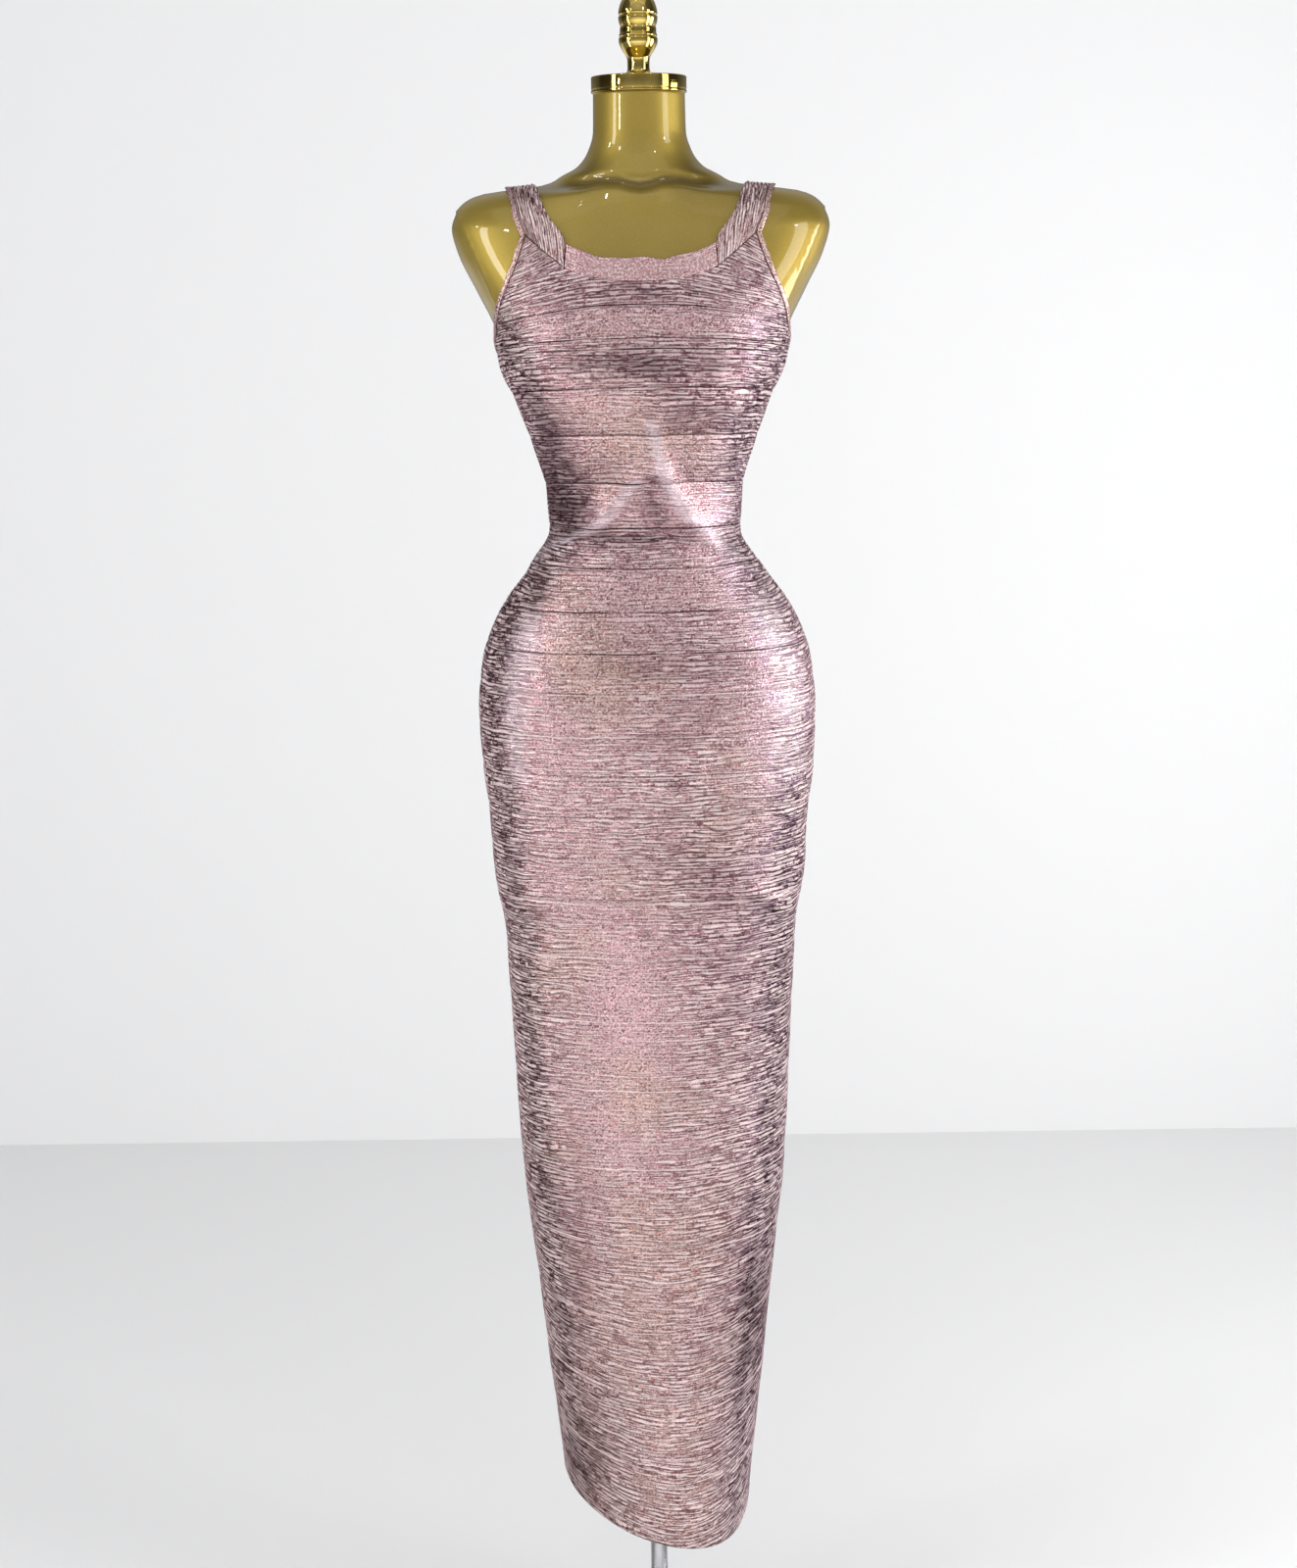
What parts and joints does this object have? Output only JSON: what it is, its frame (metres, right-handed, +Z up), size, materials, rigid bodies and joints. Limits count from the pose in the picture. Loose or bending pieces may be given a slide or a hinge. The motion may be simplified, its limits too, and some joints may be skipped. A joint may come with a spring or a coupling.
{
  "type": "bodycon dress on dress form",
  "caption": "Long sleeveless bodycon dress of banded foil-printed knit, fitted over a limbless gold dress form with a neck cap and finial, on a round stand.",
  "frame": {"origin": "centre of the round base's underside, on the floor, below the form's neck", "axes": "+Z up, the dress's front faces -Y, +X is the viewer's right from the front"},
  "size_m": [0.3696, 0.28, 1.7602],
  "materials": {
    "foil_knit": "stretch rib knit with a pink metallic foil print, broken into fine level streaks",
    "band_knit": "the same foil-printed knit, smooth and lighter",
    "binding_knit": "folded knit binding with a soft pink sheen",
    "gold_paint": "glass-fibre shell in satin-gloss gold paint",
    "polished_gold": "mirror-polished, gold coloured",
    "stand_steel": "satin steel"
  },
  "bodies": {
    "root": {"front_body": "foil_knit", "back_body": "foil_knit", "strap_left": "foil_knit", "strap_right": "foil_knit", "neckband_front": "band_knit", "neckband_back": "band_knit", "armhole_binding_left": "binding_knit", "armhole_binding_right": "binding_knit", "form_torso": "gold_paint", "neck_cap": "polished_gold", "finial": "polished_gold", "stand_top_plate": "stand_steel", "stand_pole": "stand_steel", "stand_foot_plate": "stand_steel", "stand_base": "stand_steel"}
  },
  "joints": []
}
